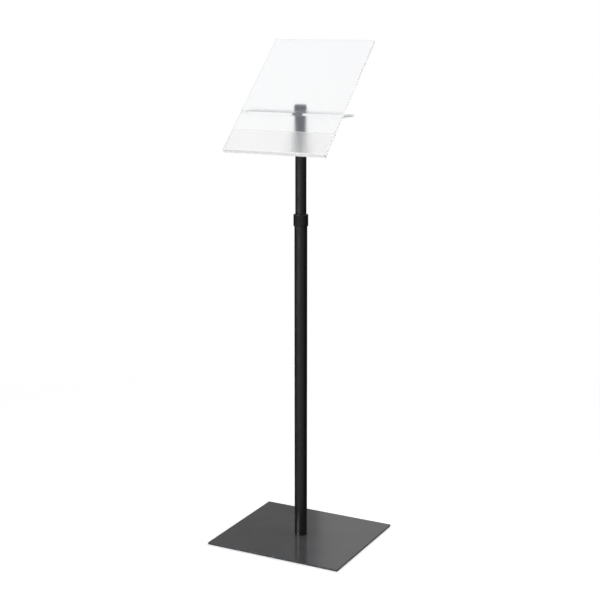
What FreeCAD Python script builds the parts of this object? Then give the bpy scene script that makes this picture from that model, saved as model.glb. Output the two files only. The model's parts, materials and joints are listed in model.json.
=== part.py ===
import FreeCAD, Part
import Sketcher
import os

# Lectern stand: a weighted floor plate, a two-stage height-adjustable pole with a twist-lock
# collar, and a fixed-angle frosted acrylic reading panel that is clamped on the pole's top.
#
# Frame: millimetres, +Z up, origin on the pole's axis at floor level, the reader stands on the
# -Y side and +X is on the reader's right. Radii end in _radius, heights above the floor in _height.

SIZES = {
    # floor plate
    "base_width": 400,              # along X
    "base_depth": 355,              # along Y
    "base_thick": 5,
    "base_corner": 2,               # radius of the plate's four corners
    "base_chamfer": 0.5,
    "pad_radius": 12,
    "pad_thick": 1,
    "pad_inset": 28,                # pad centre to the plate's edges
    # screwed joint at the pole's foot
    "screw_circle": 9,              # radius of the circle the three screws stand on
    "screw_radius": 3,
    "screw_reach": 19,              # head face to tip
    "screw_hole_radius": 3.3,
    "screw_head_radius": 6.25,
    "screw_socket_radius": 2.3,     # across the corners of the hex socket
    "screw_socket_deep": 2,
    "screw_recess": 0.2,
    "countersink_radius": 6.5,
    "thread_play": 0.05,            # radial gap of every threaded pair
    "gasket_thick": 1,
    "gasket_bore_radius": 13,
    "gasket_radius": 17.7,
    "plug_tall": 25,
    # pole
    "lower_radius": 17.5,
    "lower_wall": 1.2,
    "lower_top_height": 894,
    "upper_radius": 15,
    "upper_wall": 1.5,
    "slide_play": 0.08,             # radial gap of the sliding and turning fits
    # threaded bush in the lower tube's mouth, and the collet that sits in its cone
    "bush_shank": 20,
    "bush_neck": 15,
    "seat_deep": 10,
    "seat_low_radius": 15.9,
    "seat_top_radius": 16.7,
    "collet_gap": 0.03,             # collet to its seat
    "collet_rise": 1.2,             # collet's top above the bush
    "collet_slit": 2,
    "slip_thick": 0.7,
    "slip_bore_radius": 15.5,
    "slip_radius": 17.3,
    # lock collar
    "collar_low_height": 886,
    "collar_tall": 32,
    "collar_radius": 20,
    "collar_end_chamfer": 1.4,
    "collar_bore_radius": 17.56,
    "collar_roof": 7,               # solid ring above the threaded bore
    "collar_mouth_radius": 15.4,
    "collar_band": 4,               # plain band above and below the grip flutes
    "flute_radius": 2.4,
    "flute_bite": 0.9,
    "flute_count": 16,
    "flute_turn": 11.25,            # degrees from +X to the first flute
    "wiper_radius": 17.2,
    "wiper_tall": 3,
    "wiper_proud": 0.7,
    # foot of the upper tube
    "guide_low_height": 750.8,
    "guide_tall": 43,
    "guide_lip": 3,
    "guide_lip_bore": 11.5,
    "guide_radius": 16.22,
    "pin_radius": 1.5,
    "pin_wall": 0.5,
    "pin_slit": 0.8,
    "pin_length": 31,
    "pin_rise": 23,                 # pin's axis above the guide bush's lower end
    # clamped joint on top of the pole
    "shelf_top_height": 1188,
    "shelf_thick": 6,
    "shelf_back": 15,               # pole's axis to the shelf's back edge
    "shelf_bore_radius": 6,
    "washer_thick": 1.5,
    "washer_bore_radius": 4.4,
    "upper_washer_radius": 15.5,
    "pressure_washer_radius": 14,
    "pressure_washer_thick": 1.5,
    "top_plug_tall": 28,
    "top_plug_flange": 2,
    "stud_radius": 4,
    "stud_low_height": 1155,
    "stud_length": 47,
    "knob_radius": 16.5,
    "knob_tall": 16,
    "knob_round": 5,
    "knob_flute_radius": 3,
    "knob_flute_bite": 1.1,
    "knob_flute_count": 10,
    # reading panel and what is bonded to it, all on a plane tilted about X
    "panel_tilt": 43.3,             # degrees from horizontal
    "panel_axis_height": 1246,      # where the reading face crosses the pole's axis
    "panel_width": 297,
    "panel_upper": 190,             # from that crossing up the slope
    "panel_lower": 216,             # and down it, to the outer face of the paper stop
    "panel_thick": 8,
    "panel_corner": 2,
    "acrylic_chamfer": 0.4,
    "backing_tall": 75,
    "backing_thick": 3,
    "stop_thick": 2,
    "stop_proud": 1.5,
    "stop_round": 0.5,
}

PLATE_TOP = "Sizes.pad_thick + Sizes.base_thick"
TUBE_FOOT = "Sizes.pad_thick + Sizes.base_thick + Sizes.gasket_thick"
LOWER_BORE = "Sizes.lower_radius - Sizes.lower_wall"
UPPER_BORE = "Sizes.upper_radius - Sizes.upper_wall"
SLIDE_BORE = "Sizes.upper_radius + Sizes.slide_play"
SHELF_LOW = "Sizes.shelf_top_height - Sizes.shelf_thick"
POLE_TOP = "Sizes.shelf_top_height - Sizes.shelf_thick - Sizes.washer_thick"
KNOB_LOW = "Sizes.shelf_top_height + Sizes.washer_thick + Sizes.pressure_washer_thick"
THREAD_BORE = "Sizes.stud_radius + Sizes.thread_play"
PANEL_LOW_END = "-Sizes.panel_lower + Sizes.stop_thick"

doc = FreeCAD.newDocument("LecternStand")


def make_sheet():
    """The spreadsheet of driving sizes: name, value, and the name again as the cell's alias."""
    sheet = doc.addObject("Spreadsheet::Sheet", "Sizes")
    for row, (alias, value) in enumerate(SIZES.items(), start=1):
        sheet.set("A%d" % row, alias)
        sheet.set("B%d" % row, str(value))
        sheet.setAlias("B%d" % row, alias)
    doc.recompute()
    return sheet


def value_of(text):
    """The number that an expression on the sheet comes to now."""
    result = SHEET.evalExpression(text)
    return float(getattr(result, "Value", result))


def new_body(label, height="0"):
    """A body for one sub-part, whose own z = 0 stands at a height above the floor."""
    body = doc.addObject("PartDesign::Body", label)
    body.Label = label
    body.AllowCompound = True
    body.setExpression("Placement.Base.z", height)
    return body


def tilt_body(body):
    """Lay a body's own XY plane in the reading face, with its own +Y up the slope."""
    body.Placement = FreeCAD.Placement(FreeCAD.Vector(), FreeCAD.Rotation(FreeCAD.Vector(1, 0, 0), 45))
    body.setExpression("Placement.Base.z", "Sizes.panel_axis_height")
    body.setExpression("Placement.Rotation.Angle", "Sizes.panel_tilt")


def new_sketch(body, name, plane, lift=None):
    """A sketch on one of the body's origin planes, raised along the plane's normal by lift."""
    sketch = body.newObject("Sketcher::SketchObject", name)
    support = next(item for item in body.Origin.OriginFeatures if item.Role == plane)
    sketch.AttachmentSupport = [(support, "")]
    sketch.MapMode = "FlatFace"
    if lift:
        sketch.setExpression("AttachmentOffset.Base.z", lift)
    return sketch


def bind(sketch, index, name, expression):
    """Name a sketch constraint and drive it from the sheet."""
    sketch.renameConstraint(index, name)
    sketch.setExpression("Constraints." + name, expression)


def draw_outline(sketch, corners):
    """A closed outline of straight edges through corners given as pairs of expressions."""
    spots = [FreeCAD.Vector(value_of(across), value_of(up), 0) for across, up in corners]
    first = sketch.GeometryCount
    for number, spot in enumerate(spots):
        sketch.addGeometry(Part.LineSegment(spot, spots[(number + 1) % len(spots)]), False)
    for number, (across, up) in enumerate(corners):
        line, following = first + number, first + (number + 1) % len(corners)
        sketch.addConstraint(Sketcher.Constraint("Coincident", line, 2, following, 1))
        for kind, tag, text in (("DistanceX", "across", across), ("DistanceY", "up", up)):
            limit = Sketcher.Constraint(kind, -1, 1, line, 1, value_of(text))
            bind(sketch, sketch.addConstraint(limit), "%s%d" % (tag, line), text)


def draw_circle(sketch, radius, across="0", up="0"):
    """A circle of a given radius about a centre, all three as expressions."""
    centre = FreeCAD.Vector(value_of(across), value_of(up), 0)
    shape = Part.Circle(centre, FreeCAD.Vector(0, 0, 1), value_of(radius))
    number = sketch.addGeometry(shape, False)
    limit = Sketcher.Constraint("Radius", number, value_of(radius))
    bind(sketch, sketch.addConstraint(limit), "radius%d" % number, radius)
    for kind, tag, text in (("DistanceX", "across", across), ("DistanceY", "up", up)):
        limit = Sketcher.Constraint(kind, -1, 1, number, 3, value_of(text))
        bind(sketch, sketch.addConstraint(limit), "%s%d" % (tag, number), text)


def draw_axis(sketch, across):
    """A vertical construction line, for turning a profile about an axis off the body's own."""
    spot = value_of(across)
    ends = FreeCAD.Vector(spot, -10, 0), FreeCAD.Vector(spot, 10, 0)
    number = sketch.addGeometry(Part.LineSegment(*ends), True)
    sketch.addConstraint(Sketcher.Constraint("Vertical", number))
    limit = Sketcher.Constraint("DistanceX", -1, 1, number, 1, spot)
    bind(sketch, sketch.addConstraint(limit), "axis_across", across)


def turn(body, name, corners, kind="PartDesign::Revolution", centre=None):
    """Turn a profile of (radius, height) corners about Z, or about a vertical line at centre."""
    sketch = new_sketch(body, name + "_profile", "XZ_Plane")
    if centre:
        corners = [("%s + %s" % (centre, radius), height) for radius, height in corners]
    draw_outline(sketch, corners)
    if centre:
        draw_axis(sketch, centre)
    feature = body.newObject(kind, name)
    feature.Profile = sketch
    feature.ReferenceAxis = (sketch, ["Axis0" if centre else "V_Axis"])
    feature.Angle = 360
    body.Tip = feature
    return feature


def turn_ring(body, name, inner, outer, tall):
    """A plain ring or disc standing on the body's own z = 0."""
    return turn(body, name, [(inner, "0"), (outer, "0"), (outer, tall), (inner, tall)])


def extrude(body, name, sketch, length, kind="PartDesign::Pad", back=False, both_ways=False):
    """A pad or pocket of a sketch, along its normal, back along it, or half each way."""
    feature = body.newObject(kind, name)
    feature.Profile = sketch
    feature.setExpression("Length", length)
    feature.Reversed = back
    if both_ways:
        feature.SideType = "Symmetric"
    body.Tip = feature
    return feature


def pocket(body, name, sketch, length, **how):
    """A pocket that has to take material away."""
    doc.recompute()
    before = body.Shape.Volume
    feature = extrude(body, name, sketch, length, kind="PartDesign::Pocket", **how)
    doc.recompute()
    if body.Shape.Volume >= before:
        raise RuntimeError("%s cuts nothing" % name)
    return feature


def repeat_round(body, name, features, count):
    """Repeat features about the body's Z axis."""
    pattern = body.newObject("PartDesign::PolarPattern", name)
    pattern.Originals = features
    pattern.Axis = (next(item for item in body.Origin.OriginFeatures if item.Role == "Z_Axis"), [""])
    pattern.Angle = 360
    pattern.setExpression("Occurrences", count)
    body.Tip = pattern
    return pattern


def dress_edges(body, name, size, wanted, kind="PartDesign::Chamfer"):
    """Chamfer or round the edges of the body so far that a test picks out."""
    doc.recompute()
    base = body.Tip
    names = ["Edge%d" % number for number, edge in enumerate(base.Shape.Edges, 1) if wanted(edge)]
    feature = body.newObject(kind, name)
    feature.Base = (base, names)
    feature.setExpression("Size" if kind.endswith("Chamfer") else "Radius", size)
    body.Tip = feature
    return feature


def lies_at(edge, axis, value):
    """Whether an edge lies in the plane where one coordinate, x, y or z, has a value."""
    box = edge.BoundBox
    low, high = {"x": (box.XMin, box.XMax), "y": (box.YMin, box.YMax), "z": (box.ZMin, box.ZMax)}[axis]
    return abs(low - value) < 0.01 and abs(high - value) < 0.01


def runs_along_z(edge):
    """Whether an edge is a straight line along Z."""
    return edge.BoundBox.ZLength > 0.01 and edge.BoundBox.XLength + edge.BoundBox.YLength < 0.01


# --- floor plate and the pole's foot -----------------------------------------------------------

def make_base_pads():
    """Thin round felt-like pads under the plate's corners."""
    body = new_body("base_pads")
    sketch = new_sketch(body, "pad_outline", "XY_Plane")
    for side in "-+":
        for end in "-+":
            draw_circle(sketch, "Sizes.pad_radius", "%s(Sizes.base_width / 2 - Sizes.pad_inset)" % side,
                        "%s(Sizes.base_depth / 2 - Sizes.pad_inset)" % end)
    extrude(body, "pads", sketch, "Sizes.pad_thick")
    return body


def make_base_plate():
    """The heavy steel plate, with three countersunk holes from below at its middle."""
    body = new_body("base_plate", "Sizes.pad_thick")
    sketch = new_sketch(body, "plate_outline", "XY_Plane")
    half_wide, half_deep = "Sizes.base_width / 2", "Sizes.base_depth / 2"
    draw_outline(sketch, [("-" + half_wide, "-" + half_deep), (half_wide, "-" + half_deep),
                          (half_wide, half_deep), ("-" + half_wide, half_deep)])
    extrude(body, "plate", sketch, "Sizes.base_thick")
    dress_edges(body, "corners", "Sizes.base_corner", runs_along_z, "PartDesign::Fillet")
    thick = SIZES["base_thick"]
    dress_edges(body, "rims", "Sizes.base_chamfer",
                lambda edge: lies_at(edge, "z", 0) or lies_at(edge, "z", thick))
    sink_deep = "Sizes.countersink_radius - Sizes.screw_hole_radius"
    hole = turn(body, "countersunk_hole", [
        ("0", "0"), ("Sizes.countersink_radius", "0"), ("Sizes.screw_hole_radius", sink_deep),
        ("Sizes.screw_hole_radius", "Sizes.base_thick"), ("0", "Sizes.base_thick"),
    ], "PartDesign::Groove", "Sizes.screw_circle")
    repeat_round(body, "countersunk_holes", [hole], "3")
    return body


def make_base_screws():
    """Three countersunk screws with hex sockets, up through the plate into the foot plug."""
    body = new_body("base_screws", "Sizes.pad_thick + Sizes.screw_recess")
    neck = "Sizes.screw_head_radius - Sizes.screw_radius"
    tip = "Sizes.screw_radius * 0.75"
    screw = turn(body, "screw", [
        ("0", "0"), ("Sizes.screw_head_radius", "0"), ("Sizes.screw_radius", neck),
        ("Sizes.screw_radius", "Sizes.screw_reach - Sizes.screw_radius * 0.25"),
        (tip, "Sizes.screw_reach"), ("0", "Sizes.screw_reach"),
    ], centre="Sizes.screw_circle")
    sketch = new_sketch(body, "socket_outline", "XY_Plane")
    draw_outline(sketch, [("Sizes.screw_circle + Sizes.screw_socket_radius * cos(%d)" % angle,
                           "Sizes.screw_socket_radius * sin(%d)" % angle) for angle in range(0, 360, 60)])
    socket = pocket(body, "socket", sketch, "Sizes.screw_socket_deep", back=True)
    repeat_round(body, "screws", [screw, socket], "3")
    return body


def make_foot_gasket():
    """The ring between the pole's foot and the plate's coat."""
    body = new_body("foot_gasket", PLATE_TOP)
    turn_ring(body, "gasket", "Sizes.gasket_bore_radius", "Sizes.gasket_radius", "Sizes.gasket_thick")
    return body


def make_foot_plug():
    """The steel plug welded in the lower tube's foot, tapped for the three screws."""
    body = new_body("foot_plug", TUBE_FOOT)
    turn_ring(body, "plug", "0", LOWER_BORE, "Sizes.plug_tall")
    plug_tall = SIZES["plug_tall"]
    dress_edges(body, "lead_in", "Sizes.lower_wall", lambda edge: lies_at(edge, "z", plug_tall))
    sketch = new_sketch(body, "tapping_outline", "XY_Plane")
    draw_circle(sketch, "Sizes.screw_radius + Sizes.thread_play", "Sizes.screw_circle")
    tapping = pocket(body, "tapping", sketch, "Sizes.screw_reach - Sizes.base_thick", back=True)
    repeat_round(body, "tappings", [tapping], "3")
    return body


def make_tube(label, low, high, outer, bore):
    """A plain round tube between two heights."""
    body = new_body(label, low)
    sketch = new_sketch(body, "tube_outline", "XY_Plane")
    draw_circle(sketch, outer)
    draw_circle(sketch, bore)
    extrude(body, "tube", sketch, "(%s) - (%s)" % (high, low))
    return body


def make_lower_tube():
    """The outer tube of the pole."""
    return make_tube("lower_tube", TUBE_FOOT, "Sizes.lower_top_height", "Sizes.lower_radius", LOWER_BORE)


# --- twist lock --------------------------------------------------------------------------------

def make_threaded_bush():
    """The brass bush in the lower tube's mouth: its bore guides the upper tube, its neck carries
    the collar's thread and its cone seats the collet."""
    body = new_body("threaded_bush", "Sizes.lower_top_height - Sizes.bush_shank")
    top = "Sizes.bush_shank + Sizes.bush_neck"
    turn(body, "bush", [
        (SLIDE_BORE, "0"), (LOWER_BORE, "0"), (LOWER_BORE, "Sizes.bush_shank"),
        ("Sizes.lower_radius", "Sizes.bush_shank"), ("Sizes.lower_radius", top),
        ("Sizes.seat_top_radius", top), ("Sizes.seat_low_radius", top + " - Sizes.seat_deep"),
        (SLIDE_BORE, top + " - Sizes.seat_deep"),
    ])
    return body


def make_collet():
    """The split ring that is squeezed on the upper tube when it is pressed into its cone."""
    low = "Sizes.lower_top_height + Sizes.bush_neck - Sizes.seat_deep + Sizes.collet_gap"
    body = new_body("collet", low)
    tall = "Sizes.seat_deep + Sizes.collet_rise"
    bore = "Sizes.upper_radius + Sizes.collet_gap"
    slope = "(Sizes.seat_top_radius - Sizes.seat_low_radius) / Sizes.seat_deep"
    turn(body, "ring", [
        (bore, "0"), ("Sizes.seat_low_radius - Sizes.collet_gap", "0"),
        ("Sizes.seat_low_radius - Sizes.collet_gap + %s * (%s)" % (slope, tall), tall), (bore, tall),
    ])
    sketch = new_sketch(body, "slit_outline", "XY_Plane")
    half, far = "Sizes.collet_slit / 2", "Sizes.lower_radius"
    draw_outline(sketch, [("0", "-" + half), (far, "-" + half), (far, half), ("0", half)])
    pocket(body, "slit", sketch, tall, back=True)
    return body


def make_slip_washer():
    """The slippery ring that lets the collar turn on top of the collet."""
    top = "Sizes.collar_low_height + Sizes.collar_tall - Sizes.collar_roof"
    body = new_body("slip_washer", top + " - Sizes.slip_thick")
    turn_ring(body, "washer", "Sizes.slip_bore_radius", "Sizes.slip_radius", "Sizes.slip_thick")
    return body


def make_lock_collar():
    """The hand collar: a threaded skirt over the bush, a roof that presses the collet down and a
    recess on top for the wiper, with flutes for grip between two plain bands."""
    body = new_body("lock_collar", "Sizes.collar_low_height")
    roof = "Sizes.collar_tall - Sizes.collar_roof"
    recess = "Sizes.collar_tall - Sizes.wiper_tall + Sizes.wiper_proud"
    turn(body, "collar", [
        ("Sizes.collar_bore_radius", "0"), ("Sizes.collar_radius", "0"),
        ("Sizes.collar_radius", "Sizes.collar_tall"), ("Sizes.wiper_radius", "Sizes.collar_tall"),
        ("Sizes.wiper_radius", recess), ("Sizes.collar_mouth_radius", recess),
        ("Sizes.collar_mouth_radius", roof), ("Sizes.collar_bore_radius", roof),
    ])
    radius = SIZES["collar_radius"]
    dress_edges(body, "ends", "Sizes.collar_end_chamfer", lambda edge: edge.BoundBox.XMax > radius - 0.01
                and edge.BoundBox.ZLength < 0.01, "PartDesign::Fillet")
    sketch = new_sketch(body, "flute_outline", "XY_Plane", "Sizes.collar_band")
    reach = "(Sizes.collar_radius + Sizes.flute_radius - Sizes.flute_bite)"
    draw_circle(sketch, "Sizes.flute_radius", reach + " * cos(Sizes.flute_turn * 1 deg)",
                reach + " * sin(Sizes.flute_turn * 1 deg)")
    flute = pocket(body, "flute", sketch, "Sizes.collar_tall - 2 * Sizes.collar_band", back=True)
    repeat_round(body, "flutes", [flute], "Sizes.flute_count")
    return body


def make_wiper_ring():
    """The soft ring in the collar's top that wipes the upper tube."""
    low = "Sizes.collar_low_height + Sizes.collar_tall - Sizes.wiper_tall + Sizes.wiper_proud"
    body = new_body("wiper_ring", low)
    bore = SLIDE_BORE
    lip = "Sizes.wiper_tall - Sizes.wiper_proud"
    turn(body, "wiper", [(bore, "0"), ("Sizes.wiper_radius", "0"), ("Sizes.wiper_radius", lip),
                         (bore + " + Sizes.wiper_proud", "Sizes.wiper_tall"), (bore, "Sizes.wiper_tall")])
    return body


# --- upper tube --------------------------------------------------------------------------------

def drill_pin_hole(body, height):
    """The cross hole for the guide bush's pin, along X."""
    sketch = new_sketch(body, "pin_hole_outline", "YZ_Plane")
    draw_circle(sketch, "Sizes.pin_radius", "0", height)
    pocket(body, "pin_hole", sketch, "4 * Sizes.upper_radius", both_ways=True)


def make_upper_tube():
    """The inner tube of the pole, cross-drilled for the pin near its foot."""
    low = "Sizes.guide_low_height + Sizes.guide_lip"
    high = POLE_TOP + " - Sizes.top_plug_flange"
    body = make_tube("upper_tube", low, high, "Sizes.upper_radius", UPPER_BORE)
    drill_pin_hole(body, "Sizes.pin_rise - Sizes.guide_lip")
    return body


def make_guide_bush():
    """The sleeve on the upper tube's foot that runs in the lower tube and stops its travel."""
    body = new_body("guide_bush", "Sizes.guide_low_height")
    turn(body, "sleeve", [
        ("Sizes.guide_lip_bore", "0"), ("Sizes.guide_radius", "0"),
        ("Sizes.guide_radius", "Sizes.guide_tall"), ("Sizes.upper_radius", "Sizes.guide_tall"),
        ("Sizes.upper_radius", "Sizes.guide_lip"), ("Sizes.guide_lip_bore", "Sizes.guide_lip"),
    ])
    drill_pin_hole(body, "Sizes.pin_rise")
    return body


def make_guide_pin():
    """The rolled spring pin through the guide bush and the upper tube, lying along X."""
    body = new_body("guide_pin", "Sizes.guide_low_height + Sizes.pin_rise")
    sketch = new_sketch(body, "pin_outline", "YZ_Plane")
    draw_circle(sketch, "Sizes.pin_radius")
    draw_circle(sketch, "Sizes.pin_radius - Sizes.pin_wall")
    extrude(body, "pin", sketch, "Sizes.pin_length", both_ways=True)
    slit = new_sketch(body, "slit_outline", "YZ_Plane")
    half, far = "Sizes.pin_slit / 2", "Sizes.pin_radius * 2"
    draw_outline(slit, [("-" + half, "0"), (half, "0"), (half, far), ("-" + half, far)])
    pocket(body, "slit", slit, "Sizes.pin_length", both_ways=True)
    return body


def make_top_plug():
    """The tapped plug pressed in the upper tube's top, with a flange over the tube's end."""
    body = new_body("top_plug", POLE_TOP + " - Sizes.top_plug_flange - Sizes.top_plug_tall")
    top = "Sizes.top_plug_tall + Sizes.top_plug_flange"
    turn(body, "plug", [
        (THREAD_BORE, "0"), (UPPER_BORE, "0"), (UPPER_BORE, "Sizes.top_plug_tall"),
        ("Sizes.upper_radius", "Sizes.top_plug_tall"), ("Sizes.upper_radius", top), (THREAD_BORE, top),
    ])
    return body


# --- clamped joint on top of the pole ----------------------------------------------------------

def make_lower_washer():
    """The rubber washer between the pole's top and the shelf."""
    body = new_body("lower_washer", POLE_TOP)
    turn_ring(body, "washer", "Sizes.washer_bore_radius", "Sizes.upper_radius", "Sizes.washer_thick")
    return body


def make_shelf_bush():
    """The nylon bush in the shelf's hole, in which the stud turns."""
    body = new_body("shelf_bush", SHELF_LOW)
    bore = "Sizes.stud_radius + Sizes.slide_play"
    turn_ring(body, "bush", bore, "Sizes.shelf_bore_radius", "Sizes.shelf_thick")
    return body


def make_upper_washer():
    """The rubber washer on top of the shelf."""
    body = new_body("upper_washer", "Sizes.shelf_top_height")
    turn_ring(body, "washer", "Sizes.washer_bore_radius", "Sizes.upper_washer_radius",
              "Sizes.washer_thick")
    return body


def make_pressure_washer():
    """The steel washer that the knob turns on."""
    body = new_body("pressure_washer", "Sizes.shelf_top_height + Sizes.washer_thick")
    turn_ring(body, "washer", "Sizes.washer_bore_radius", "Sizes.pressure_washer_radius",
              "Sizes.pressure_washer_thick")
    return body


def make_clamp_knob():
    """The black clamping knob, with a rounded top, grip flutes and a blind hole for the stud."""
    body = new_body("clamp_knob", KNOB_LOW)
    hole_deep = "Sizes.stud_low_height + Sizes.stud_length - (%s)" % KNOB_LOW
    turn(body, "knob", [
        ("Sizes.stud_radius", "0"), ("Sizes.knob_radius", "0"), ("Sizes.knob_radius", "Sizes.knob_tall"),
        ("0", "Sizes.knob_tall"), ("0", hole_deep), ("Sizes.stud_radius", hole_deep),
    ])
    knob_tall, knob_radius = SIZES["knob_tall"], SIZES["knob_radius"]
    dress_edges(body, "crown", "Sizes.knob_round", lambda edge: lies_at(edge, "z", knob_tall)
                and edge.BoundBox.XMax > knob_radius - 0.01, "PartDesign::Fillet")
    sketch = new_sketch(body, "flute_outline", "XY_Plane")
    draw_circle(sketch, "Sizes.knob_flute_radius",
                "Sizes.knob_radius + Sizes.knob_flute_radius - Sizes.knob_flute_bite")
    flute = pocket(body, "flute", sketch, "Sizes.knob_tall", back=True)
    repeat_round(body, "flutes", [flute], "Sizes.knob_flute_count")
    return body


def make_knob_stud():
    """The stud moulded in the knob, down through the shelf into the top plug."""
    body = new_body("knob_stud", "Sizes.stud_low_height")
    turn_ring(body, "stud", "0", "Sizes.stud_radius", "Sizes.stud_length")
    dress_edges(body, "tip", "Sizes.stud_radius / 6", lambda edge: lies_at(edge, "z", 0))
    return body


# --- acrylic head ------------------------------------------------------------------------------

def behind_panel(height):
    """Where the panel's back face is along Y at a height."""
    return ("((%s) - Sizes.panel_axis_height + Sizes.panel_thick / cos(Sizes.panel_tilt))"
            " / tan(Sizes.panel_tilt)" % height)


def make_support_shelf():
    """The level shelf behind the panel: its front edge is mitred to the panel's back face, and the
    pole's stud passes through it."""
    body = new_body("support_shelf", SHELF_LOW)
    sketch = new_sketch(body, "shelf_outline", "YZ_Plane")
    draw_outline(sketch, [
        (behind_panel(SHELF_LOW), "0"), ("Sizes.shelf_back", "0"),
        ("Sizes.shelf_back", "Sizes.shelf_thick"), (behind_panel("Sizes.shelf_top_height"), "Sizes.shelf_thick"),
    ])
    extrude(body, "shelf", sketch, "Sizes.panel_width", both_ways=True)
    back = SIZES["shelf_back"]
    dress_edges(body, "back_rims", "Sizes.acrylic_chamfer", lambda edge: lies_at(edge, "y", back))
    hole = new_sketch(body, "hole_outline", "XY_Plane")
    draw_circle(hole, "Sizes.shelf_bore_radius")
    pocket(body, "hole", hole, "Sizes.shelf_thick", back=True)
    return body


def make_slab(label, low, high, face, thick):
    """A full-width slab parallel to the reading face, between two places along the slope, whose
    upper face stands a distance above the reading face."""
    body = new_body(label)
    tilt_body(body)
    sketch = new_sketch(body, label + "_outline", "XY_Plane", face)
    half = "Sizes.panel_width / 2"
    draw_outline(sketch, [("-" + half, low), (half, low), (half, high), ("-" + half, high)])
    extrude(body, label + "_slab", sketch, thick, back=True)
    return body


def make_reading_panel():
    """The frosted panel that papers lie on, with small round corners at its top."""
    body = make_slab("reading_panel", PANEL_LOW_END, "Sizes.panel_upper", "0", "Sizes.panel_thick")
    top, thick = SIZES["panel_upper"], SIZES["panel_thick"]
    dress_edges(body, "corners", "Sizes.panel_corner",
                lambda edge: runs_along_z(edge) and edge.BoundBox.YMax > top - 0.01, "PartDesign::Fillet")
    dress_edges(body, "rims", "Sizes.acrylic_chamfer",
                lambda edge: lies_at(edge, "z", 0) or lies_at(edge, "z", -thick))
    return body


def make_backing_strip():
    """The strip bonded behind the panel's lower end, which doubles it where it is loaded."""
    body = make_slab("backing_strip", PANEL_LOW_END, PANEL_LOW_END + " + Sizes.backing_tall",
                     "-Sizes.panel_thick", "Sizes.backing_thick")
    back = SIZES["panel_thick"] + SIZES["backing_thick"]
    dress_edges(body, "rims", "Sizes.acrylic_chamfer", lambda edge: lies_at(edge, "z", -back))
    return body


def make_paper_stop():
    """The low ledge bonded under the panel's lower end, proud of the reading face."""
    body = make_slab("paper_stop", "-Sizes.panel_lower", PANEL_LOW_END, "Sizes.stop_proud",
                     "Sizes.stop_proud + Sizes.panel_thick + Sizes.backing_thick")
    proud = SIZES["stop_proud"]
    dress_edges(body, "rounded_lip", "Sizes.stop_round",
                lambda edge: lies_at(edge, "z", proud) and edge.BoundBox.XLength > 1, "PartDesign::Fillet")
    return body


MAKERS = [
    make_base_pads, make_base_plate, make_base_screws, make_foot_gasket, make_foot_plug,
    make_lower_tube, make_threaded_bush, make_collet, make_slip_washer, make_lock_collar,
    make_wiper_ring, make_upper_tube, make_guide_bush, make_guide_pin, make_top_plug,
    make_lower_washer, make_shelf_bush, make_upper_washer, make_pressure_washer, make_clamp_knob,
    make_knob_stud, make_support_shelf, make_reading_panel, make_backing_strip, make_paper_stop,
]


def check(subparts):
    """Stop if any object failed to rebuild, or any sub-part isn't a sound solid."""
    failed = [item.Name for item in doc.Objects if {"Invalid", "Error"} & set(item.State)]
    if failed:
        raise RuntimeError("failed objects: %s" % failed)
    for body in subparts:
        shape = body.Shape
        if shape.isNull() or not shape.isValid() or not shape.Solids:
            raise RuntimeError("%s has no sound solid" % body.Label)


def main():
    subparts = [make() for make in MAKERS]
    doc.recompute()
    check(subparts)
    os.makedirs("parts", exist_ok=True)
    for body in subparts:
        body.Shape.exportStep("parts/%s.step" % body.Label)
        box = body.Shape.BoundBox
        print("%-16s %d solid(s) %10.1f mm3  z %.2f to %.2f" % (
            body.Label, len(body.Shape.Solids), body.Shape.Volume, box.ZMin, box.ZMax))


SHEET = make_sheet()
main()
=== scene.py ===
import bmesh
import bpy
import json
import math
from mathutils import Matrix, Vector


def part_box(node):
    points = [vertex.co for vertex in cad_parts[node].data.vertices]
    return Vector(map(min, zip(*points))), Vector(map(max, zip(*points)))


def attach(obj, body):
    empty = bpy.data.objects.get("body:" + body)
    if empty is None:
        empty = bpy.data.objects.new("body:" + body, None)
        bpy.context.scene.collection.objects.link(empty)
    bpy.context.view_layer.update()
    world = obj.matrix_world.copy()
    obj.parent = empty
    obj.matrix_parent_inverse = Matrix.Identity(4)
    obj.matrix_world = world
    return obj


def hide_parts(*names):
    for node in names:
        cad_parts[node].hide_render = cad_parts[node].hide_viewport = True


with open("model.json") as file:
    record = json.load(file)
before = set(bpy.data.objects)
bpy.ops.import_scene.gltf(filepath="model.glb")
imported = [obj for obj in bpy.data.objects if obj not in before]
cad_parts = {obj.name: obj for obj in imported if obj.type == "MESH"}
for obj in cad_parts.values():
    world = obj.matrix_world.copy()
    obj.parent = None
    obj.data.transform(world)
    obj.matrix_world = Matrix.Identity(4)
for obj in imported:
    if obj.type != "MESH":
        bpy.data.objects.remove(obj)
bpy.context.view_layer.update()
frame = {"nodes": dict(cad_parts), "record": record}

# A lectern stand: a flat steel base, a two-stage black pole with a twist-lock collar, and a sloping
# frosted acrylic panel on a level acrylic shelf. Metres, +Z up, the reader stands on the -Y side.

MM = 0.001

# --- camera, floor and light -------------------------------------------------------------------
CAMERA_AZIMUTH = 27.38          # degrees from -Y towards +X
CAMERA_ELEVATION = 12.29
CAMERA_DISTANCE = 3.52
CAMERA_AIM_HEIGHT = 0.6824
CAMERA_AIM_LEFT = 0.0023        # how far the aim lies to the camera's left of the pole
CAMERA_LENS = 77.6              # mm, on Blender's 36 mm sensor
FLOOR_LIT = 0.9                 # radius of the floor that takes light and shadow
FLOOR_FADE = 1.2                # width of the ring over which it turns into backdrop
FLOOR_SEGMENTS = 96
FLOOR_GLOW = 0.43               # added to the lit floor, as the camera sees it
WHITE = (1.0, 1.0, 1.0)

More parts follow.
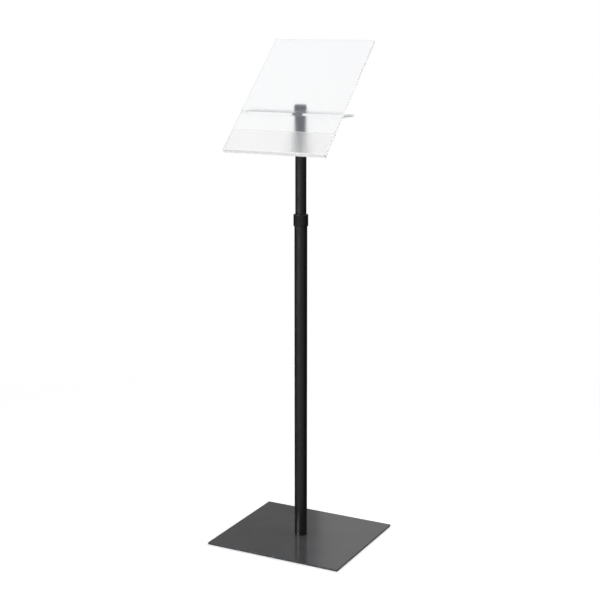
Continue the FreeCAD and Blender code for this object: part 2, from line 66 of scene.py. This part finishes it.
# The room as seen through the acrylic, and the stretch of the view direction's own X, Y or Z over
# which each part turns into the next.
LEFT_WALL = (1.6, 1.6, 1.6)     # a bright wall on the left
LEFT_WALL_X = (-0.72, -0.9)
BACKDROP_RIGHT = (0.92, 0.92, 0.925)
BACKDROP_RIGHT_X = (-0.5, -0.3)
READERS_SIDE = (0.70, 0.74, 0.78)   # the low room on the reader's side
READERS_SIDE_Y = (-0.4, -0.8)
READERS_SIDE_Z = (0.1, 0.4)

# The room as reflections see it.
MIRRORED_CEILING = (0.85, 1.05, 1.35)   # a cool light from high up
MIRRORED_CEILING_Z = (0.4, 0.8)
MIRRORED_ROOM = 0.26
MIRRORED_HORIZON_Z = (-0.1, 0.1)
MIRRORED_FLOOR = 0.62           # the lit floor in front
MIRRORED_FLOOR_BEHIND = 0.03
MIRRORED_FLOOR_Y = (-1.0, 0.1)
FRONT_LEAN = -0.05              # turns the bright part of the mirrored floor towards +X
MIRRORED_KEY = (50.0, -23, 15, 7, 2)    # a far lamp: glow, azimuth, elevation, radius, soft edge
MIRRORED_GLEAM = (0.7, -8, -13, 8, 4)   # and its gleam on the floor
SOFT_FILL = 0.5                 # the room's light on matt surfaces

# Softboxes: azimuth and elevation in degrees, then distance, width, height, glow, height of the aim
# and whether reflections show the box.
SOFTBOXES = {
    "front_softbox": (-5, 0, 3.0, 2.2, 2.4, 0.3, 1.25, True),
    "top_softbox": (180, 75, 3.4, 3.2, 3.2, 1.8, CAMERA_AIM_HEIGHT, False),
    "rim_softbox": (198, 10, 3.4, 0.9, 2.2, 0.45, 0.9, True),
}

# --- finish of the rebuilt pieces --------------------------------------------------------------
MESH_TOLERANCE = 1e-6           # CAD points closer than this count as one
CUT_TOLERANCE = 1e-7            # the same for points that a cut or a turn makes
HEIGHT_DIGITS = 5               # decimals to which a section's heights and radii are read
RADIUS_DIGITS = 6
ROUND_SEGMENTS = 128            # round a tube
SECTION_ANGLE = math.radians(11.25)     # where a plain turned node is cut for its outline
FACET_SAG = 1.02                # how far inside its true circle a facet may lie, as a ratio
STRAIGHT = math.radians(89.5)   # half the angle at a corner that counts as no corner
RIM_STEPS = 3                   # facets over a rounded rim
RIM_REACH = 0.4                 # share of a short side that a rim's rounding may take
SHARP_ANGLE = math.radians(50)  # between faces that meet in a hard edge
SLAB_EDGE = math.radians(40)    # between faces of a slab whose edge gets a rim
UPRIGHT = 0.99                  # Z part of an edge's direction that counts as upright
TUBE_RIM = 0.35 * MM            # rounding of a tube's rims
MOULDED_RIM = 0.25 * MM         # rounding of moulded plastic and rubber
PLUG_RIM = 0.2 * MM
STUD_RIM = 0.3 * MM
METAL_RIM = 0.1 * MM            # rounding of thin or machined metal
FLUTE_SEGMENTS = 18             # round a grip, for each flute
FLUTE_RUNOUT = 0.5 * MM         # length over which a flute runs out
FLUTE_WALL = 3                  # flutes cut only the wall that lies within this many flute depths
COLLAR_FLUTES = (16, 2.4 * MM, 0.9 * MM, math.radians(11.25))   # number, radius, depth, first angle
COLLAR_BAND = 4 * MM            # plain band at each end of the collar
KNOB_FLUTES = (10, 3 * MM, 1.1 * MM, 0.0)
JOINT_GAP = 0.06 * MM           # glue line between two pieces of acrylic
SLAB_RIM = 0.15 * MM            # polished edges of the acrylic
PANEL_CORNER = 2 * MM           # rounding of the reading panel's upper corners
CORNER_STEPS = 6
FROSTED_TINT = (0.962, 0.956, 0.945)
CLEAR_TINT = (0.99, 0.995, 1.0)
PALER = 1.006                   # how far the acrylic's tint varies
ACRYLIC_IOR = 1.49
SMEAR_ROUGH = 0.015             # what smears add to a polished face's roughness
FROST_SPREAD = 0.03             # how far a frosted face's roughness varies either way
FROST_DEPTH = 0.5 * MM          # the frosted back reaches this far in
NEVER_DEEP = 1.0                # a depth that no face of the acrylic reaches: polished all over

NODES = frame["nodes"]
RECORD = frame["record"]


# --- small tools -------------------------------------------------------------------------------

def mount(name):
    """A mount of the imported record."""
    return next(item for item in RECORD["mounts"] if item["name"] == name)


def slope_frame():
    """The reading face as a matrix: own X across, own Y up the slope, own Z out of the face."""
    face = mount("reading_face")
    out = Vector(face["axis"]).normalized()
    across = Vector((1, 0, 0))
    up_slope = out.cross(across)
    turn = Matrix((across, up_slope, out)).transposed().to_4x4()
    return Matrix.Translation(Vector(face["pos_m"])) @ turn


SLOPE = slope_frame()


def slope_box(node):
    """Lowest and highest corner of a CAD node in the reading face's own frame."""
    back = SLOPE.inverted()
    spots = [back @ vertex.co for vertex in NODES[node].data.vertices]
    low = Vector(min(spot[axis] for spot in spots) for axis in range(3))
    high = Vector(max(spot[axis] for spot in spots) for axis in range(3))
    return low, high


def body_of(node):
    """The CAD body that a node belongs to."""
    groups = RECORD["behaviour"]["bodies"]
    return next(body for body, members in groups.items() if node in members)


def slot_of(node):
    """The record's material slot of a node."""
    return next(row["material_slot"] for row in RECORD["subparts"] if row["node"] == node)


def stand_for(node, name, mesh, material):
    """Turn a mesh into a piece that stands for a CAD node and rides on its body. Broad faces stay
    truly flat or round, and only the small rims between them look rounded."""
    piece = bpy.data.objects.new(name, mesh)
    bpy.context.scene.collection.objects.link(piece)
    mesh.materials.append(material)
    mesh.shade_smooth()
    mesh.set_sharp_from_angle(angle=SHARP_ANGLE)
    shading = piece.modifiers.new("shading", "WEIGHTED_NORMAL")
    shading.mode = "FACE_AREA"
    shading.weight = 100
    shading.keep_sharp = True
    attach(piece, body_of(node))
    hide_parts(node)


# --- turned pieces -----------------------------------------------------------------------------

def outer_radius(node):
    """The largest distance of a node's vertices from the pole's axis."""
    return max(vertex.co.xy.length for vertex in NODES[node].data.vertices)


def section(node, angle):
    """The outline of a turned CAD node: (radius, height) points in the half-plane at an angle about
    the pole's axis, in order. A solid that reaches the axis gives an open outline."""
    work = bmesh.new()
    work.from_mesh(NODES[node].data)
    bmesh.ops.remove_doubles(work, verts=work.verts, dist=MESH_TOLERANCE)
    bmesh.ops.rotate(work, matrix=Matrix.Rotation(-angle, 3, "Z"), verts=work.verts)
    circles = {(round(vert.co.z, HEIGHT_DIGITS), round(vert.co.xy.length, RADIUS_DIGITS))
               for vert in work.verts}
    for plane in ((1, 0, 0), (0, 1, 0)):
        everything = work.verts[:] + work.edges[:] + work.faces[:]
        bmesh.ops.bisect_plane(work, geom=everything, plane_co=(0, 0, 0), plane_no=plane,
                               dist=CUT_TOLERANCE)
    links = {}
    for edge in work.edges:
        if all(abs(vert.co.y) < MESH_TOLERANCE and vert.co.x > -MESH_TOLERANCE
               for vert in edge.verts):
            ends = [on_circle(vert.co, circles) for vert in edge.verts]
            if ends[0] != ends[1]:
                links.setdefault(ends[0], set()).add(ends[1])
                links.setdefault(ends[1], set()).add(ends[0])
    work.free()
    here = next((spot for spot, others in links.items() if len(others) == 1), min(links))
    outline = [here]
    while True:
        ahead = [spot for spot in sorted(links[here]) if spot not in outline]
        if not ahead:
            return [Vector(spot) for spot in outline]
        here = ahead[0]
        outline.append(here)


def on_circle(spot, circles):
    """A section point as (radius, height), moved from its facet out to the circle it lies on."""
    height, radius = round(spot.z, HEIGHT_DIGITS), abs(spot.x)
    true = [size for level, size in circles
            if level == height and radius - MESH_TOLERANCE <= size <= radius * FACET_SAG]
    return (min(true) if true else round(radius, RADIUS_DIGITS), height)


def rounded(corners, rim, closed):
    """An outline with its corners turned into arcs, and points on straight stretches left out."""
    outline = []
    for number, corner in enumerate(corners):
        if not closed and number in (0, len(corners) - 1):
            outline.append(corner)
            continue
        to_last = corners[number - 1] - corner
        to_next = corners[(number + 1) % len(corners)] - corner
        half = to_last.angle(to_next) / 2
        if half > STRAIGHT:
            continue
        reach = min(rim / math.tan(half), RIM_REACH * to_last.length, RIM_REACH * to_next.length)
        radius = reach * math.tan(half)
        to_last, to_next = to_last.normalized(), to_next.normalized()
        centre = corner + (to_last + to_next).normalized() * (radius / math.sin(half))
        start = (corner + to_last * reach - centre).normalized()
        end = (corner + to_next * reach - centre).normalized()
        outline += [centre + start.slerp(end, step / RIM_STEPS) * radius
                    for step in range(RIM_STEPS + 1)]
    return outline


def lathe(name, outline, closed, segments, shape):
    """Turn an outline of (radius, height) points about Z. shape, where given, changes a radius from
    the radius, the angle and the height."""
    verts, faces = [], []
    for step in range(segments):
        angle = 2 * math.pi * step / segments
        for radius, height in outline:
            at = shape(radius, angle, height) if shape else radius
            verts.append((at * math.cos(angle), at * math.sin(angle), height))
    count = len(outline)
    for step in range(segments):
        here, there = step * count, (step + 1) % segments * count
        for number in range(count if closed else count - 1):
            after = (number + 1) % count
            faces.append((here + number, there + number, there + after, here + after))
    mesh = bpy.data.meshes.new(name)
    mesh.from_pydata(verts, [], faces)
    work = bmesh.new()
    work.from_mesh(mesh)
    bmesh.ops.remove_doubles(work, verts=work.verts, dist=CUT_TOLERANCE)
    bmesh.ops.recalc_face_normals(work, faces=work.faces)
    work.to_mesh(mesh)
    work.free()
    return mesh


def with_rows(outline, closed, heights):
    """An outline with extra points at these heights on its steep stretches."""
    result = []
    stretches = zip(outline, outline[1:] + outline[:1]) if closed else zip(outline, outline[1:])
    for here, there in stretches:
        result.append(here)
        low, high = sorted((here.y, there.y))
        inside = sorted((height for height in heights
                         if low + MESH_TOLERANCE < height < high - MESH_TOLERANCE),
                        reverse=there.y < here.y)
        result += [here.lerp(there, (height - here.y) / (there.y - here.y)) for height in inside]
    return result if closed else result + outline[-1:]


def turn_again(node, material, rim, cut=SECTION_ANGLE, rows=(), segments=ROUND_SEGMENTS,
               shape=None):
    """Turn a CAD node's own outline again with a smooth round wall and softly rounded rims. cut is
    the angle that the outline is taken at."""
    corners = section(node, cut)
    closed = min(corner.x for corner in corners) > MESH_TOLERANCE
    outline = with_rows(rounded(corners, rim, closed), closed, rows)
    mesh = lathe(node + "_turned", outline, closed, segments, shape)
    stand_for(node, node + "_turned", mesh, material)


def fluted_again(node, material, flutes, low, high, rim):
    """Turn a fluted CAD node again: grooves of a cutter's radius between two heights, running out
    softly at their ends."""
    outer = outer_radius(node)
    count, cutter, bite, first = flutes
    centre = outer + cutter - bite
    pitch = 2 * math.pi / count

    def shape(radius, angle, height):
        off = (angle - first + pitch / 2) % pitch - pitch / 2
        side = centre * math.sin(off)
        if radius < outer - FLUTE_WALL * bite or abs(side) >= cutter:
            return radius
        groove = centre * math.cos(off) - math.sqrt(cutter ** 2 - side ** 2)
        share = max(0.0, min(1.0, (height - low) / FLUTE_RUNOUT, (high - height) / FLUTE_RUNOUT))
        return radius - max(0.0, radius - groove) * share

    rows = [low, low + FLUTE_RUNOUT / 2, low + FLUTE_RUNOUT,
            high - FLUTE_RUNOUT, high - FLUTE_RUNOUT / 2, high]
    turn_again(node, material, rim, first + pitch / 2, rows, count * FLUTE_SEGMENTS, shape)


# --- acrylic slabs -----------------------------------------------------------------------------

def slab(name, low, high, corner, place):
    """A block between two corners of the frame that place gives, with round rims. Where corner is
    set, its two upper corners are rounded by that much."""
    work = bmesh.new()
    bmesh.ops.create_cube(work, size=1.0)
    size, middle = high - low, (low + high) / 2
    bmesh.ops.scale(work, vec=size, verts=work.verts)
    bmesh.ops.translate(work, vec=middle, verts=work.verts)
    if corner:
        # the edges that run through the thickness, on the upper side
        upright = [edge for edge in work.edges
                   if abs((edge.verts[0].co - edge.verts[1].co).normalized().z) > UPRIGHT
                   and edge.verts[0].co.y > middle.y]
        bmesh.ops.bevel(work, geom=upright, offset=corner, segments=CORNER_STEPS, profile=0.5,
                        affect="EDGES")
    sharp = [edge for edge in work.edges if edge.calc_face_angle(0) > SLAB_EDGE]
    bmesh.ops.bevel(work, geom=sharp, offset=SLAB_RIM, segments=RIM_STEPS, profile=0.5,
                    affect="EDGES")
    bmesh.ops.transform(work, matrix=place, verts=work.verts)
    bmesh.ops.recalc_face_normals(work, faces=work.faces)
    mesh = bpy.data.meshes.new(name)
    work.to_mesh(mesh)
    work.free()
    return mesh


# --- materials ---------------------------------------------------------------------------------

class Nodes:
    """A shader node tree under construction."""

    def __init__(self, tree):
        self.tree = tree

    def add(self, kind, **settings):
        node = self.tree.nodes.new(kind)
        for key, value in settings.items():
            setattr(node, key, value)
        return node

    def feed(self, socket, value):
        """Link an output to an input, or set the input to a plain value."""
        if isinstance(value, bpy.types.NodeSocket):
            self.tree.links.new(value, socket)
        else:
            socket.default_value = value

    def spread(self, value, low, high, from_low=0.3, from_high=0.7):
        """Map a value's range onto another. The plain range is that of a noise's middle part."""
        node = self.add("ShaderNodeMapRange")
        self.feed(node.inputs["Value"], value)
        self.feed(node.inputs["From Min"], from_low)
        self.feed(node.inputs["From Max"], from_high)
        self.feed(node.inputs["To Min"], low)
        self.feed(node.inputs["To Max"], high)
        return node.outputs["Result"]

    def math(self, operation, first, second):
        node = self.add("ShaderNodeMath", operation=operation)
        self.feed(node.inputs[0], first)
        self.feed(node.inputs[1], second)
        return node.outputs["Value"]

    def blend(self, share, first, second):
        """Mix two colours."""
        node = self.add("ShaderNodeMix", data_type="RGBA")
        self.feed(node.inputs["Factor"], share)
        self.feed(node.inputs["A"], (*first, 1.0) if isinstance(first, tuple) else first)
        self.feed(node.inputs["B"], (*second, 1.0) if isinstance(second, tuple) else second)
        return node.outputs["Result"]


class Shader(Nodes):
    """A material under construction, with a Principled shader as its surface."""

    def __init__(self, name):
        self.material = bpy.data.materials.new(name)
        self.material.use_nodes = True
        super().__init__(self.material.node_tree)
        self.surface = self.tree.nodes["Principled BSDF"]
        self.place = self.add("ShaderNodeTexCoord").outputs["Object"]

    def set(self, **inputs):
        """Feed the Principled shader's inputs, named with _ for a space."""
        for key, value in inputs.items():
            self.feed(self.surface.inputs[key.replace("_", " ")], value)

    def join(self, share, other):
        """Show a share of another shader in place of the Principled one."""
        mixer = self.add("ShaderNodeMixShader")
        self.feed(mixer.inputs[0], share)
        self.feed(mixer.inputs[1], self.surface.outputs["BSDF"])
        self.feed(mixer.inputs[2], other)
        self.feed(self.tree.nodes["Material Output"].inputs["Surface"], mixer.outputs["Shader"])

    def noise(self, scale, detail, stretch=None, roughness=0.5):
        """Noise with features about 1/scale metres wide, from 0 to 1."""
        source = self.place
        if stretch:
            mapping = self.add("ShaderNodeMapping")
            self.feed(mapping.inputs["Vector"], source)
            mapping.inputs["Scale"].default_value = stretch
            source = mapping.outputs["Vector"]
        node = self.add("ShaderNodeTexNoise")
        self.feed(node.inputs["Vector"], source)
        self.feed(node.inputs["Scale"], scale)
        self.feed(node.inputs["Detail"], detail)
        self.feed(node.inputs["Roughness"], roughness)
        return node.outputs["Fac"]

    def mottle(self, pattern, first, second):
        """Two colours that take turns as a noise pattern goes from low to high."""
        return self.blend(self.spread(pattern, 0, 1), first, second)

    def bump(self, height, strength, distance):
        """Raise the surface by a pattern."""
        node = self.add("ShaderNodeBump")
        self.feed(node.inputs["Height"], height)
        self.feed(node.inputs["Strength"], strength)
        self.feed(node.inputs["Distance"], distance)
        self.feed(self.surface.inputs["Normal"], node.outputs["Normal"])


def pole_coat():
    """Satin black powder coat: fine orange peel and faint handling marks."""
    shader = Shader("pole_coat")
    marks = shader.noise(14, detail=4, stretch=(1, 1, 0.35))
    colour = shader.mottle(marks, (0.0062, 0.0062, 0.0066), (0.0085, 0.0085, 0.0088))
    rough = shader.spread(marks, 0.27, 0.31)
    shader.set(Base_Color=colour, Roughness=rough, Specular_IOR_Level=0.5)
    shader.bump(shader.noise(1100, detail=2), 0.10, 0.15 * MM)
    return shader.material


def base_coat():
    """Smooth dark grey coat on steel, glossy enough to mirror the pole, with faint wipe marks."""
    shader = Shader("base_coat")
    clouds = shader.noise(9, detail=5)
    wipes = shader.noise(24, detail=4, stretch=(1, 0.18, 1))
    colour = shader.mottle(clouds, (0.070, 0.070, 0.072), (0.079, 0.079, 0.081))
    rough = shader.math("ADD", shader.spread(clouds, 0.09, 0.12), shader.spread(wipes, 0.0, 0.02))
    shader.set(Base_Color=colour, Roughness=rough, Specular_IOR_Level=0.5)
    shader.bump(shader.noise(700, detail=2), 0.03, 0.1 * MM)
    return shader.material


def black_plastic():
    """Moulded black plastic with a fine spark-eroded grain."""
    shader = Shader("black_plastic")
    grain = shader.noise(2600, detail=2)
    patches = shader.noise(60, detail=3)
    colour = shader.mottle(patches, (0.0035, 0.0035, 0.0038), (0.0055, 0.0055, 0.0058))
    rough = shader.spread(patches, 0.15, 0.20)
    shader.set(Base_Color=colour, Roughness=rough, Specular_IOR_Level=0.45)
    shader.bump(grain, 0.12, 0.08 * MM)
    return shader.material


def black_rubber():
    """Matt rubber with a slight bloom."""
    shader = Shader("black_rubber")
    bloom = shader.noise(180, detail=4)
    colour = shader.mottle(bloom, (0.012, 0.012, 0.012), (0.024, 0.024, 0.025))
    rough = shader.spread(bloom, 0.62, 0.78)
    shader.set(Base_Color=colour, Roughness=rough, Specular_IOR_Level=0.35)
    shader.bump(shader.noise(3000, detail=2), 0.15, 0.08 * MM)
    return shader.material


def felt():
    """Pressed felt pads: fibrous, with no shine."""
    shader = Shader("felt")
    fibres = shader.noise(1500, detail=6, stretch=(1, 0.4, 1), roughness=0.7)
    colour = shader.mottle(fibres, (0.018, 0.018, 0.019), (0.05, 0.05, 0.052))
    shader.set(Base_Color=colour, Roughness=0.95, Specular_IOR_Level=0.1, Sheen_Weight=0.3)
    shader.bump(fibres, 0.5, 0.2 * MM)
    return shader.material


def zinc_steel():
    """Zinc-plated steel with turning marks round the axis."""
    shader = Shader("zinc_steel")
    patches = shader.noise(90, detail=4)
    rings = shader.noise(420, detail=3, stretch=(1, 1, 9))
    colour = shader.mottle(patches, (0.48, 0.50, 0.52), (0.60, 0.61, 0.62))
    shader.set(Base_Color=colour, Metallic=1.0, Roughness=shader.spread(rings, 0.24, 0.4))
    shader.bump(rings, 0.08, 0.05 * MM)
    return shader.material


def spring_steel():
    """Dark oiled spring steel with drawing marks along X."""
    shader = Shader("spring_steel")
    drawn = shader.noise(1400, detail=3, stretch=(0.06, 1, 1))
    colour = shader.mottle(drawn, (0.16, 0.155, 0.15), (0.26, 0.255, 0.25))
    shader.set(Base_Color=colour, Metallic=1.0, Roughness=shader.spread(drawn, 0.28, 0.42))
    shader.bump(drawn, 0.1, 0.04 * MM)
    return shader.material


def brass():
    """Turned brass, slightly dulled in patches."""
    shader = Shader("brass")
    dull = shader.noise(120, detail=4)
    rings = shader.noise(500, detail=2, stretch=(1, 1, 10))
    colour = shader.mottle(dull, (0.66, 0.47, 0.20), (0.78, 0.60, 0.30))
    shader.set(Base_Color=colour, Metallic=1.0, Roughness=shader.spread(dull, 0.2, 0.38))
    shader.bump(rings, 0.08, 0.05 * MM)
    return shader.material


def white_nylon():
    """Natural nylon: milky, a little translucent, faint mould flow."""
    shader = Shader("white_nylon")
    flow = shader.noise(160, detail=3, stretch=(1, 1, 3))
    colour = shader.mottle(flow, (0.70, 0.68, 0.61), (0.79, 0.77, 0.71))
    shader.set(Base_Color=colour, Roughness=shader.spread(flow, 0.38, 0.5), Subsurface_Weight=0.15,
               Subsurface_Scale=2 * MM)
    shader.bump(shader.noise(1800, detail=2), 0.08, 0.05 * MM)
    return shader.material


def acrylic(name, tint, front_rough, back_rough, back_depth):
    """Acrylic: polished in front and at its edges, frosted on faces deeper than back_depth below
    the reading face."""
    shader = Shader(name)
    out = SLOPE.col[2].to_3d()
    depth = shader.add("ShaderNodeVectorMath", operation="DOT_PRODUCT")
    shader.feed(depth.inputs[0], shader.place)
    depth.inputs[1].default_value = out
    face = SLOPE.translation.dot(out)
    is_back = shader.math("LESS_THAN", depth.outputs["Value"], face - back_depth)
    frost = shader.noise(1500, detail=4, roughness=0.6)
    smears = shader.noise(7, detail=3)
    polished = shader.spread(smears, front_rough, front_rough + SMEAR_ROUGH)
    frosted = shader.spread(frost, back_rough - FROST_SPREAD, back_rough + FROST_SPREAD)
    rough = shader.add("ShaderNodeMix", data_type="FLOAT")
    shader.feed(rough.inputs["Factor"], is_back)
    shader.feed(rough.inputs["A"], polished)
    shader.feed(rough.inputs["B"], frosted)
    paler = tuple(min(1.0, part * PALER) for part in tint)
    shade = shader.mottle(smears, tint, paler)
    shader.set(Base_Color=shade, Roughness=rough.outputs["Result"], IOR=ACRYLIC_IOR,
               Transmission_Weight=1.0)
    return shader.material


# --- pieces ------------------------------------------------------------------------------------

# Plain turned nodes and the rounding of their rims.
TURNED = {
    "lower_tube": TUBE_RIM, "upper_tube": TUBE_RIM, "foot_gasket": MOULDED_RIM,
    "wiper_ring": MOULDED_RIM, "lower_washer": MOULDED_RIM, "upper_washer": MOULDED_RIM,
    "pressure_washer": METAL_RIM, "slip_washer": METAL_RIM, "shelf_bush": MOULDED_RIM,
    "top_plug": PLUG_RIM, "threaded_bush": METAL_RIM, "knob_stud": STUD_RIM,
}


def make_acrylic_slab(node, material, corner=0.0):
    """A sloping slab of acrylic, a hair smaller than its node so that no two slabs share a face."""
    low, high = slope_box(node)
    gap = Vector((0, JOINT_GAP, JOINT_GAP))
    mesh = slab(node + "_acrylic", low + gap, high - gap, corner, SLOPE)
    stand_for(node, node + "_acrylic", mesh, material)


def dress_node(node, material):
    """Give a CAD node that stays its material."""
    piece = NODES[node]
    piece.data.materials.clear()
    piece.data.materials.append(material)


def build_object():
    """Make all the pieces and dress the CAD nodes that stay in sight."""
    finishes = {
        "base_coat": base_coat(), "pole_coat": pole_coat(), "black_plastic": black_plastic(),
        "black_rubber": black_rubber(), "felt": felt(), "zinc_steel": zinc_steel(),
        "spring_steel": spring_steel(), "brass": brass(), "white_nylon": white_nylon(),
    }
    for node, rim in TURNED.items():
        turn_again(node, finishes[slot_of(node)], rim)
    low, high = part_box("lock_collar")
    fluted_again("lock_collar", finishes["black_plastic"], COLLAR_FLUTES,
                 low.z + COLLAR_BAND, high.z - COLLAR_BAND, MOULDED_RIM)
    low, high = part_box("clamp_knob")
    fluted_again("clamp_knob", finishes["black_plastic"], KNOB_FLUTES,
                 low.z - FLUTE_RUNOUT, high.z + FLUTE_RUNOUT, MOULDED_RIM)
    panel_back = -slope_box("reading_panel")[0].z - FROST_DEPTH
    strip_back = -slope_box("backing_strip")[0].z - FROST_DEPTH
    frosted = acrylic("frosted_panel", FROSTED_TINT, 0.03, 0.26, panel_back)
    frosted_strip = acrylic("frosted_strip", FROSTED_TINT, 0.03, 0.38, strip_back)
    clear = acrylic("clear_acrylic", CLEAR_TINT, 0.02, 0.1, NEVER_DEEP)
    make_acrylic_slab("reading_panel", frosted, PANEL_CORNER)
    make_acrylic_slab("backing_strip", frosted_strip)
    make_acrylic_slab("paper_stop", clear)
    dress_node("support_shelf", clear)
    for node, piece in NODES.items():
        if not piece.hide_render and node != "support_shelf":
            dress_node(node, finishes[slot_of(node)])


# --- stage -------------------------------------------------------------------------------------

def towards(azimuth, elevation):
    """A direction from degrees: azimuth from the reader's side (-Y) towards +X, elevation up."""
    azimuth, elevation = math.radians(azimuth), math.radians(elevation)
    level = math.cos(elevation)
    return Vector((math.sin(azimuth) * level, -math.cos(azimuth) * level, math.sin(elevation)))


def make_camera():
    """The camera: in front, a little to the right and above."""
    back = towards(CAMERA_AZIMUTH, CAMERA_ELEVATION)
    right = towards(CAMERA_AZIMUTH + 90, 0)
    aim = Vector((0, 0, CAMERA_AIM_HEIGHT)) - right * CAMERA_AIM_LEFT
    lens = bpy.data.cameras.new("camera")
    lens.lens = CAMERA_LENS
    camera = bpy.data.objects.new("camera", lens)
    camera.location = aim + back * CAMERA_DISTANCE
    camera.rotation_euler = (-back).to_track_quat("-Z", "Y").to_euler()
    bpy.context.scene.collection.objects.link(camera)
    bpy.context.scene.camera = camera


def make_floor():
    """A plain pale floor: a wide disc, lit round the stand and fading out into the white backdrop.
    Reflections look through it at the world's own floor."""
    work = bmesh.new()
    bmesh.ops.create_circle(work, cap_ends=True, segments=FLOOR_SEGMENTS,
                            radius=FLOOR_LIT + FLOOR_FADE)
    mesh = bpy.data.meshes.new("floor")
    work.to_mesh(mesh)
    work.free()
    floor = bpy.data.objects.new("floor", mesh)
    bpy.context.scene.collection.objects.link(floor)
    shader = Shader("floor")
    rays = shader.add("ShaderNodeLightPath").outputs
    shader.set(Base_Color=(0.8, 0.8, 0.8, 1.0), Roughness=0.3, Specular_IOR_Level=0.5)
    straight = shader.math("MAXIMUM", rays["Is Camera Ray"], rays["Is Transmission Ray"])
    glow = shader.math("MULTIPLY", straight, FLOOR_GLOW)
    shader.set(Emission_Color=(*WHITE, 1.0), Emission_Strength=glow)
    distance = shader.add("ShaderNodeVectorMath", operation="LENGTH")
    shader.feed(distance.inputs[0], shader.place)
    away = shader.spread(distance.outputs["Value"], 0.0, 1.0, FLOOR_LIT, FLOOR_LIT + FLOOR_FADE)
    clear = shader.add("ShaderNodeBsdfTransparent")
    shader.join(shader.math("MAXIMUM", away, rays["Is Glossy Ray"]), clear.outputs["BSDF"])
    mesh.materials.append(shader.material)


def make_world():
    """The studio. The camera sees plain white. Through the acrylic the backdrop is white too, with
    a brighter wall on the left and a slightly dimmer room on the reader's side. Reflections see a
    dim room under a cool ceiling, a floor that is bright in front, and a far lamp."""
    world = bpy.data.worlds.new("studio")
    world.use_nodes = True
    bpy.context.scene.world = world
    nodes = Nodes(world.node_tree)
    rays = nodes.add("ShaderNodeLightPath").outputs
    direction = nodes.add("ShaderNodeSeparateXYZ")
    generated = nodes.add("ShaderNodeTexCoord").outputs["Generated"]
    nodes.feed(direction.inputs[0], generated)
    x, y, z = (direction.outputs[axis] for axis in "XYZ")
    front = nodes.math("ADD", nodes.math("MULTIPLY", x, FRONT_LEAN), y)
    floor = nodes.spread(front, MIRRORED_FLOOR, MIRRORED_FLOOR_BEHIND, *MIRRORED_FLOOR_Y)
    room = nodes.spread(z, floor, MIRRORED_ROOM, *MIRRORED_HORIZON_Z)
    ceiling = nodes.spread(z, 0.0, 1.0, *MIRRORED_CEILING_Z)
    mirrored = nodes.blend(ceiling, room, MIRRORED_CEILING)
    for glow, azimuth, elevation, radius, fade in (MIRRORED_KEY, MIRRORED_GLEAM):
        near = nodes.add("ShaderNodeVectorMath", operation="DOT_PRODUCT")
        nodes.feed(near.inputs[0], generated)
        near.inputs[1].default_value = towards(azimuth, elevation)
        rims = [math.cos(math.radians(radius + edge)) for edge in (fade, -fade)]
        disc = nodes.spread(near.outputs["Value"], 0.0, 1.0, *rims)
        mirrored = nodes.blend(disc, mirrored, (glow, glow, glow))
    in_front = nodes.spread(y, 0.0, 1.0, *READERS_SIDE_Y)
    low_down = nodes.spread(z, 1.0, 0.0, *READERS_SIDE_Z)
    through = nodes.blend(nodes.spread(x, 0.0, 1.0, *BACKDROP_RIGHT_X), WHITE, BACKDROP_RIGHT)
    through = nodes.blend(nodes.spread(x, 0.0, 1.0, *LEFT_WALL_X), through, LEFT_WALL)
    through = nodes.blend(nodes.math("MULTIPLY", in_front, low_down), through, READERS_SIDE)
    colour = nodes.blend(rays["Is Glossy Ray"], (SOFT_FILL, SOFT_FILL, SOFT_FILL), mirrored)
    colour = nodes.blend(rays["Is Transmission Ray"], colour, through)
    colour = nodes.blend(rays["Is Camera Ray"], colour, WHITE)
    nodes.feed(world.node_tree.nodes["Background"].inputs["Color"], colour)


def make_softbox(name, azimuth, elevation, distance, width, height, glow, aim, mirrored):
    """A rectangular soft light of an even glow, aimed at a height on the pole."""
    light = bpy.data.lights.new(name, "AREA")
    light.shape = "RECTANGLE"
    light.size, light.size_y = width, height
    light.energy = glow * math.pi * width * height
    lamp = bpy.data.objects.new(name, light)
    back = towards(azimuth, elevation)
    lamp.location = Vector((0, 0, aim)) + back * distance
    lamp.rotation_euler = (-back).to_track_quat("-Z", "Y").to_euler()
    lamp.visible_camera = False
    lamp.visible_transmission = False
    lamp.visible_glossy = mirrored
    bpy.context.scene.collection.objects.link(lamp)


def set_light_paths():
    """Let light cross the acrylic and travel along inside it before a path is given up."""
    cycles = bpy.context.scene.cycles
    cycles.max_bounces = 40
    cycles.glossy_bounces = 32
    cycles.transmission_bounces = 32
    cycles.diffuse_bounces = 4
    cycles.blur_glossy = 0.0


build_object()
make_camera()
make_floor()
make_world()
for name, settings in SOFTBOXES.items():
    make_softbox(name, *settings)
set_light_paths()
bpy.context.scene.view_settings.view_transform = "Standard"
bpy.context.scene.view_settings.look = "None"
